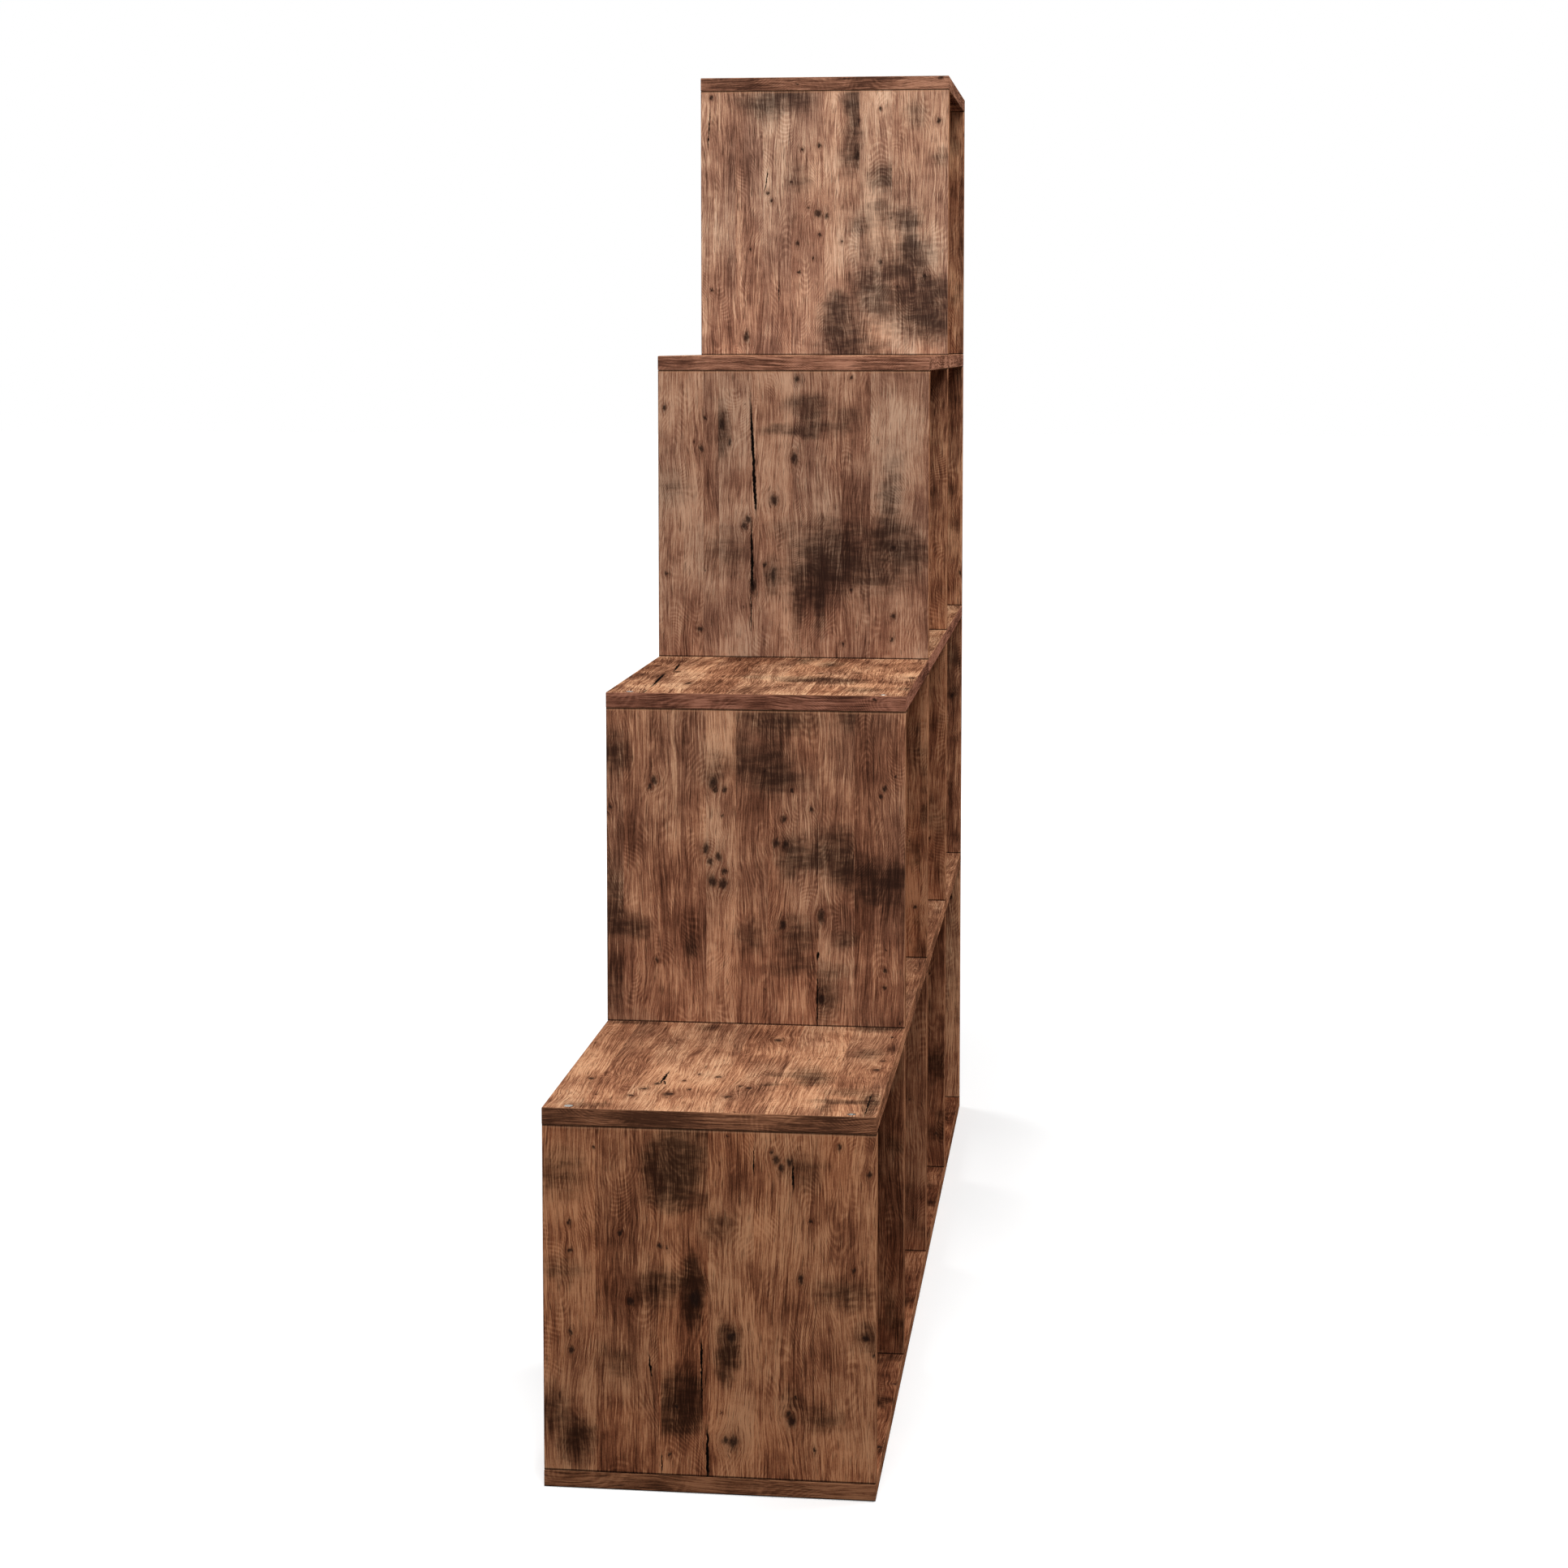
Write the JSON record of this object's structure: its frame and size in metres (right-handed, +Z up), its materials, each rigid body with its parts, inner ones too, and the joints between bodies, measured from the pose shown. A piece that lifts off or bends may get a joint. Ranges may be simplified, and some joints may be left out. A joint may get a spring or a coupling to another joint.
{
  "type": "staircase bookshelf",
  "caption": "Open staircase bookshelf of square compartments that rise in steps from a low end to a tall end, in rustic brown woodgrain board, open on both long sides.",
  "frame": {"origin": "on the floor, under the middle of the shelf's length and depth", "axes": "+X along the length, from the low step to the tall end; -Y is the front long side and +Y the back one, which look alike; +Z up"},
  "size_m": [1.348, 0.3, 1.348],
  "materials": {
    "rustic_oak": "satin woodgrain foil on board: brown rustic oak with dark smudges, knots and fine pores, edges banded to match",
    "screw_steel": "bright zinc-plated screws with a cross recess"
  },
  "bodies": {
    "root": {"bottom_board": "rustic_oak", "shelf_board_1": "rustic_oak", "shelf_board_2": "rustic_oak", "shelf_board_3": "rustic_oak", "top_board": "rustic_oak", "upright_1_1": "rustic_oak", "upright_1_2": "rustic_oak", "upright_1_3": "rustic_oak", "upright_1_4": "rustic_oak", "upright_1_5": "rustic_oak", "upright_2_2": "rustic_oak", "upright_2_3": "rustic_oak", "upright_2_4": "rustic_oak", "upright_2_5": "rustic_oak", "upright_3_3": "rustic_oak", "upright_3_4": "rustic_oak", "upright_3_5": "rustic_oak", "upright_4_4": "rustic_oak", "upright_4_5": "rustic_oak", "base_screw_1_front": "screw_steel", "base_screw_1_back": "screw_steel", "base_screw_2_front": "screw_steel", "base_screw_2_back": "screw_steel", "base_screw_3_front": "screw_steel", "base_screw_3_back": "screw_steel", "base_screw_4_front": "screw_steel", "base_screw_4_back": "screw_steel", "base_screw_5_front": "screw_steel", "base_screw_5_back": "screw_steel", "screw_1_1_front": "screw_steel", "screw_1_1_back": "screw_steel", "screw_1_2_front": "screw_steel", "screw_1_2_back": "screw_steel", "screw_1_3_front": "screw_steel", "screw_1_3_back": "screw_steel", "screw_1_4_front": "screw_steel", "screw_1_4_back": "screw_steel", "screw_1_5_front": "screw_steel", "screw_1_5_back": "screw_steel", "screw_2_2_front": "screw_steel", "screw_2_2_back": "screw_steel", "screw_2_3_front": "screw_steel", "screw_2_3_back": "screw_steel", "screw_2_4_front": "screw_steel", "screw_2_4_back": "screw_steel", "screw_2_5_front": "screw_steel", "screw_2_5_back": "screw_steel", "screw_3_3_front": "screw_steel", "screw_3_3_back": "screw_steel", "screw_3_4_front": "screw_steel", "screw_3_4_back": "screw_steel", "screw_3_5_front": "screw_steel", "screw_3_5_back": "screw_steel", "screw_4_4_front": "screw_steel", "screw_4_4_back": "screw_steel", "screw_4_5_front": "screw_steel", "screw_4_5_back": "screw_steel"}
  },
  "joints": []
}
